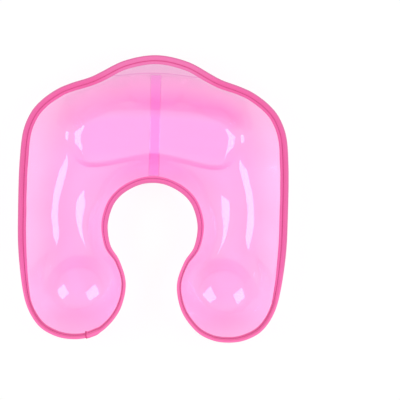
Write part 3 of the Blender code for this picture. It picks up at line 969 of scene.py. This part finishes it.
def make_vinyl(name, density, blue, painted_shades):
    """Clear pink vinyl, with painted shade for each mask over the form."""
    material, tree, shader = new_material(name)
    shader.inputs["Transmission Weight"].default_value = 1.0
    shader.inputs["IOR"].default_value = vinyl_index
    cloud = add_group(tree, mottle, Cloud_Scale=14.0, Relief_Scale=420.0)
    form = add_group(tree, painted_shade_masks, Line_Width=crease_line_width)
    tint = colour_between(tree, cloud.outputs["Cloud"], cloud_tint, untinted)
    # Each mask over the form paints its shade into the colour.
    for title, colour in painted_shades.items():
        tint = colour_between(tree, form.outputs[title], tint, colour)
    tree.links.new(tint, shader.inputs["Base Color"])
    roughness = mapped(tree, cloud.outputs["Cloud"], 0.0, 1.0, *vinyl_roughness)
    tree.links.new(roughness, shader.inputs["Roughness"])
    tree.links.new(add_bump(tree, cloud.outputs["Relief"], 0.00002, 0.5), shader.inputs["Normal"])
    see_through = tree.nodes.new("ShaderNodeBsdfTransparent")
    path = tree.nodes.new("ShaderNodeLightPath")
    both = tree.nodes.new("ShaderNodeMixShader")
    tree.links.new(path.outputs["Is Shadow Ray"], both.inputs["Fac"])
    tree.links.new(shader.outputs["BSDF"], both.inputs[1])
    tree.links.new(see_through.outputs["BSDF"], both.inputs[2])
    out = tree.nodes["Material Output"]
    tree.links.new(both.outputs["Shader"], out.inputs["Surface"])
    dye = tree.nodes.new("ShaderNodeVolumeAbsorption")
    dye.inputs["Color"].default_value = (1.0, 0.0, blue, 1.0)
    dye.inputs["Density"].default_value = density
    tree.links.new(dye.outputs["Volume"], out.inputs["Volume"])
    return material


# Painted shade on the sheet: greyer back, deeper pink at the rear wall's foot and the pocket floor.
sheet_painted_shade = {
    "Back": (0.90, 0.99, 0.90),
    "Foot": (1.0, 0.72, 0.84),
    "Floor": (1.0, 0.935, 0.98),
    "Crease": crease_painted_shade,
}
# The strip takes only the crease's painted shade.
strip_painted_shade = {"Back": untinted, "Foot": untinted, "Floor": untinted, "Crease": crease_painted_shade}
sheet_vinyl = make_vinyl("clear pink vinyl", 925.0, 0.71, sheet_painted_shade)
strip_vinyl = make_vinyl("clear pink vinyl strip", 420.0, 0.97, strip_painted_shade)
formed_sheet.data.materials.append(sheet_vinyl)
welded_strip.data.materials.append(strip_vinyl)

# %% [markdown]
# The tape is dyed a strong pink. Its ribs are painted a little lighter on top than between, as
# painted shade, and both of their colours are painted lighter or darker with the tape's lean, as
# painted light. The seam, the fold and the cut end are painted deeper, as painted shade. A woven
# surface has no gloss, only the faint sheen of its fibres. The thread is the same pink, a shade
# deeper and slightly uneven, as twisted thread is.

# %% The tape and the thread
# Painted shade: the darker rib colour lies between the ribs, the lighter on top; worn fuzz mixes
# in.
rib_colours = ((0.71, 0.085, 0.29), (0.85, 0.155, 0.41))
# Painted light: lit and shaded rib colours for flat, leaning and steep tape.
rib_colours_painted_by_lean = {
    "Flat": ((0.67, 0.125, 0.33), (0.80, 0.190, 0.43)),
    "Lean": ((0.87, 0.125, 0.41), (0.99, 0.205, 0.54)),
    "Steep": ((0.90, 0.120, 0.36), (0.94, 0.198, 0.47)),
}
# Painted shade along the seam, on the fold and at the cut end.
painted_shade_line_colours = {
    "Seam": (0.66, 0.065, 0.25),
    "Fold": (0.66, 0.130, 0.32),
    "Cut": (0.60, 0.035, 0.18),
}


def make_tape_cloth():
    """Ribbed woven tape, with painted shade and painted light in its colour."""
    material, tree, shader = new_material("ribbed pink tape")
    cloth = add_group(tree, weave, Wear=0.35)
    ribs = cloth.outputs["Ribs"]
    tint = colour_between(tree, ribs, *rib_colours)
    for title, colours in rib_colours_painted_by_lean.items():
        leaning = colour_between(tree, ribs, *colours)
        tint = colour_between(tree, cloth.outputs[title], tint, leaning)
    for title, colour in painted_shade_line_colours.items():
        tint = colour_between(tree, cloth.outputs[title], tint, colour)
    tree.links.new(tint, shader.inputs["Base Color"])
    tree.links.new(add_bump(tree, cloth.outputs["Height"], 0.00006, 0.8), shader.inputs["Normal"])
    shader.inputs["Roughness"].default_value = 0.8
    shader.inputs["Specular IOR Level"].default_value = 0.25
    shader.inputs["Sheen Weight"].default_value = 0.45
    shader.inputs["Sheen Tint"].default_value = (1.0, 0.45, 0.70, 1.0)
    shader.inputs["Sheen Roughness"].default_value = 0.5
    return material


def make_thread():
    """Twisted sewing thread."""
    material, tree, shader = new_material("deep pink thread")
    grain = add_group(tree, mottle, Cloud_Scale=300.0, Relief_Scale=2600.0)
    tint = colour_between(tree, grain.outputs["Cloud"], (0.46, 0.030, 0.15), (0.66, 0.060, 0.24))
    tree.links.new(tint, shader.inputs["Base Color"])
    tree.links.new(add_bump(tree, grain.outputs["Relief"], 0.00003, 0.6), shader.inputs["Normal"])
    shader.inputs["Roughness"].default_value = 0.55
    return material


edge_tape.data.materials.append(make_tape_cloth())
thread = make_thread()
needle_stitches.data.materials.append(thread)
bobbin_stitches.data.materials.append(thread)

# %% [markdown]
# The picture looks straight down on the tray. The camera hangs over the middle of its outline,
# and its shift puts the tray where the picture has it. A slight turn of the camera gives the
# slight turn of the tray.

# %% The camera
camera_height = 0.946
frame_width = 0.456
sensor_width = 36.0
tray_pixel = (153.3, 198.0)
picture_size = 400.0
tray_turn = math.radians(1.3)

lens = bpy.data.cameras.new("camera")
lens.sensor_width = sensor_width
lens.lens = sensor_width * (camera_height - rim_height) / frame_width
lens.shift_x = (picture_size / 2 - tray_pixel[0]) / picture_size
lens.shift_y = -(picture_size / 2 - tray_pixel[1]) / picture_size
camera = bpy.data.objects.new("camera", lens)
camera.location = (0.0, 0.0, camera_height)
camera.rotation_euler = (0.0, 0.0, tray_turn)
bpy.context.scene.collection.objects.link(camera)
bpy.context.scene.camera = camera
print(f"the lens is {lens.lens:.1f} mm long")

# %% [markdown]
# Two softboxes stand left and right of the camera. The gloss on the walls and in the bowls is
# their reflection, so their place and size follow from where those reflections lie.

# %% The lamps
softbox_distance = 0.66
softbox_height = 0.92
softbox_width = 0.52
softbox_length = 0.58
softbox_turn = math.radians(35.0)
softbox_radiance = 4.6


def add_softbox(name, side):
    """A rectangular lamp that faces the tray, turned about the line to it."""
    lamp = bpy.data.lights.new(name, "AREA")
    lamp.shape = "RECTANGLE"
    lamp.size = softbox_width
    lamp.size_y = softbox_length
    lamp.energy = softbox_radiance * math.pi * softbox_width * softbox_length
    item = bpy.data.objects.new(name, lamp)
    item.location = (side * softbox_distance, 0.0, softbox_height)
    aim = (-item.location).to_track_quat("-Z", "Y")
    item.rotation_euler = (aim @ Quaternion((0.0, 0.0, 1.0), softbox_turn)).to_euler()
    item.visible_camera = False
    bpy.context.scene.collection.objects.link(item)
    print(f"{name}: {lamp.energy:.1f} W")


add_softbox("left softbox", -1)
add_softbox("right softbox", 1)

# %% [markdown]
# A pale world fills in from all round, and the camera sees it as plain white. The tray stands on a
# white table that has to vanish into that white and still keep a trace of the tray's shadow. So the
# table glows by itself in part: mostly where the camera sees it, less where it is seen through the
# vinyl or mirrored in it.

# %% The world and the table
world_strength = 0.75


def make_world():
    """A pale world, which the camera sees as white."""
    world = bpy.data.worlds.new("studio")
    world.use_nodes = True
    tree = world.node_tree
    background = tree.nodes["Background"]
    background.inputs["Color"].default_value = (1.0, 1.0, 1.0, 1.0)
    seen = tree.nodes.new("ShaderNodeLightPath").outputs["Is Camera Ray"]
    tree.links.new(mapped(tree, seen, 0.0, 1.0, world_strength, 1.0), background.inputs["Strength"])
    return world


bpy.context.scene.world = make_world()


table_half_width = 3.0
table_top = -0.0003
table_white = (0.9, 0.9, 0.9, 1.0)
direct_glow = 0.85
indirect_glow = 0.40


def make_floor():
    """A plain white table that keeps the tray's shadow."""
    mesh = bpy.data.meshes.new("floor")
    signs = ((-1, -1), (1, -1), (1, 1), (-1, 1))
    corners = [(x * table_half_width, y * table_half_width, table_top) for x, y in signs]
    mesh.from_pydata(corners, [], [(0, 1, 2, 3)])
    item = bpy.data.objects.new("floor", mesh)
    bpy.context.scene.collection.objects.link(item)
    material, tree, shader = new_material("white table")
    shader.inputs["Base Color"].default_value = table_white
    shader.inputs["Roughness"].default_value = 1.0
    shader.inputs["Specular IOR Level"].default_value = 0.0
    glow = tree.nodes.new("ShaderNodeEmission")
    path = tree.nodes.new("ShaderNodeLightPath")
    mirrored, through = path.outputs["Is Glossy Ray"], path.outputs["Is Transmission Ray"]
    indirect = computed(tree, "MAXIMUM", mirrored, through)
    indirect = computed(tree, "MULTIPLY", indirect, indirect_glow)
    direct = computed(tree, "MULTIPLY", path.outputs["Is Camera Ray"], direct_glow)
    seen = computed(tree, "MAXIMUM", direct, indirect)
    both = tree.nodes.new("ShaderNodeMixShader")
    tree.links.new(seen, both.inputs["Fac"])
    tree.links.new(shader.outputs["BSDF"], both.inputs[1])
    tree.links.new(glow.outputs["Emission"], both.inputs[2])
    tree.links.new(both.outputs["Shader"], tree.nodes["Material Output"].inputs["Surface"])
    mesh.materials.append(material)


make_floor()
bpy.context.scene.view_settings.view_transform = "Standard"
